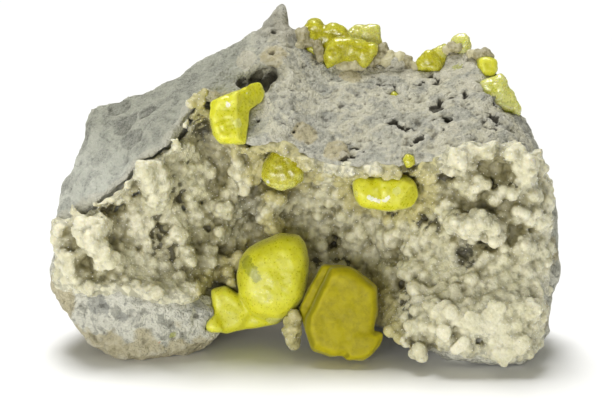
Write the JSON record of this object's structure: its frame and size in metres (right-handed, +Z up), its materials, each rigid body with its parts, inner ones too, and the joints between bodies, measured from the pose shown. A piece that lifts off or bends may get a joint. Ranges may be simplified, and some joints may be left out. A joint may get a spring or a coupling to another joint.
{
  "type": "mineral specimen",
  "caption": "Hand-sized specimen of yellow sulfur crystals grown in a cream calcite-lined hollow of grey limestone, for display.",
  "frame": {"origin": "middle of the specimen's box, on the surface that it rests on", "axes": "+X along the specimen's length to its right as its hollow faces the viewer, +Y towards its back, +Z up"},
  "size_m": [0.1326, 0.0664, 0.087],
  "materials": {
    "limestone": "dry broken stone, matt and grainy, mid grey with paler veins",
    "calcite": "cream druse of small rounded crystal lumps, faintly translucent, waxy with fine sparkle",
    "sulfur": "translucent lemon-yellow crystal, resinous to greasy shine, slightly etched faces"
  },
  "bodies": {
    "root": {"limestone_matrix": "limestone", "calcite_crust": "calcite", "sulfur_upper_left": "sulfur", "sulfur_round": "sulfur", "sulfur_lobed": "sulfur", "sulfur_large_pair": "sulfur", "sulfur_large_lower": "sulfur", "sulfur_top_cluster": "sulfur", "sulfur_right_ridge": "sulfur", "sulfur_summit": "sulfur", "sulfur_right_upper": "sulfur", "sulfur_right_cluster": "sulfur", "sulfur_brow_speck": "sulfur", "sulfur_lip_speck": "sulfur"}
  },
  "joints": []
}
